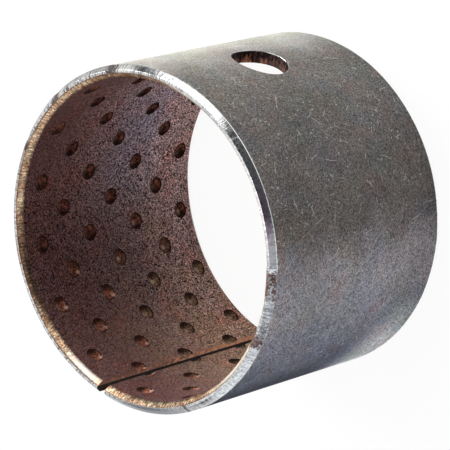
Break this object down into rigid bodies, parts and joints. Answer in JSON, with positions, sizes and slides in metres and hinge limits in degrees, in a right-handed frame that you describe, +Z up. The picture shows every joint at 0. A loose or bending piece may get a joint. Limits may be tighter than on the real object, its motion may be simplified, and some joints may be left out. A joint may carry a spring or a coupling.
{
  "type": "wrapped bimetal bushing",
  "caption": "Split sleeve rolled from bronze-lined steel strip, with chamfered ends, an oil hole and a bore indented with grease pockets.",
  "frame": {"origin": "middle of the bush's lower end face, on the axis", "axes": "+Z up along the bore's axis, +X out through the oil hole, with the seam about opposite at -X"},
  "size_m": [0.068, 0.068, 0.051],
  "materials": {
    "steel": "dull grey-brown steel with fine scratches and rust specks, bright machined ends",
    "bronze": "matt brown sintered bronze with dark pits, bright chamfered ends"
  },
  "bodies": {
    "root": {"steel_back": "steel", "bronze_lining": "bronze"}
  },
  "joints": []
}
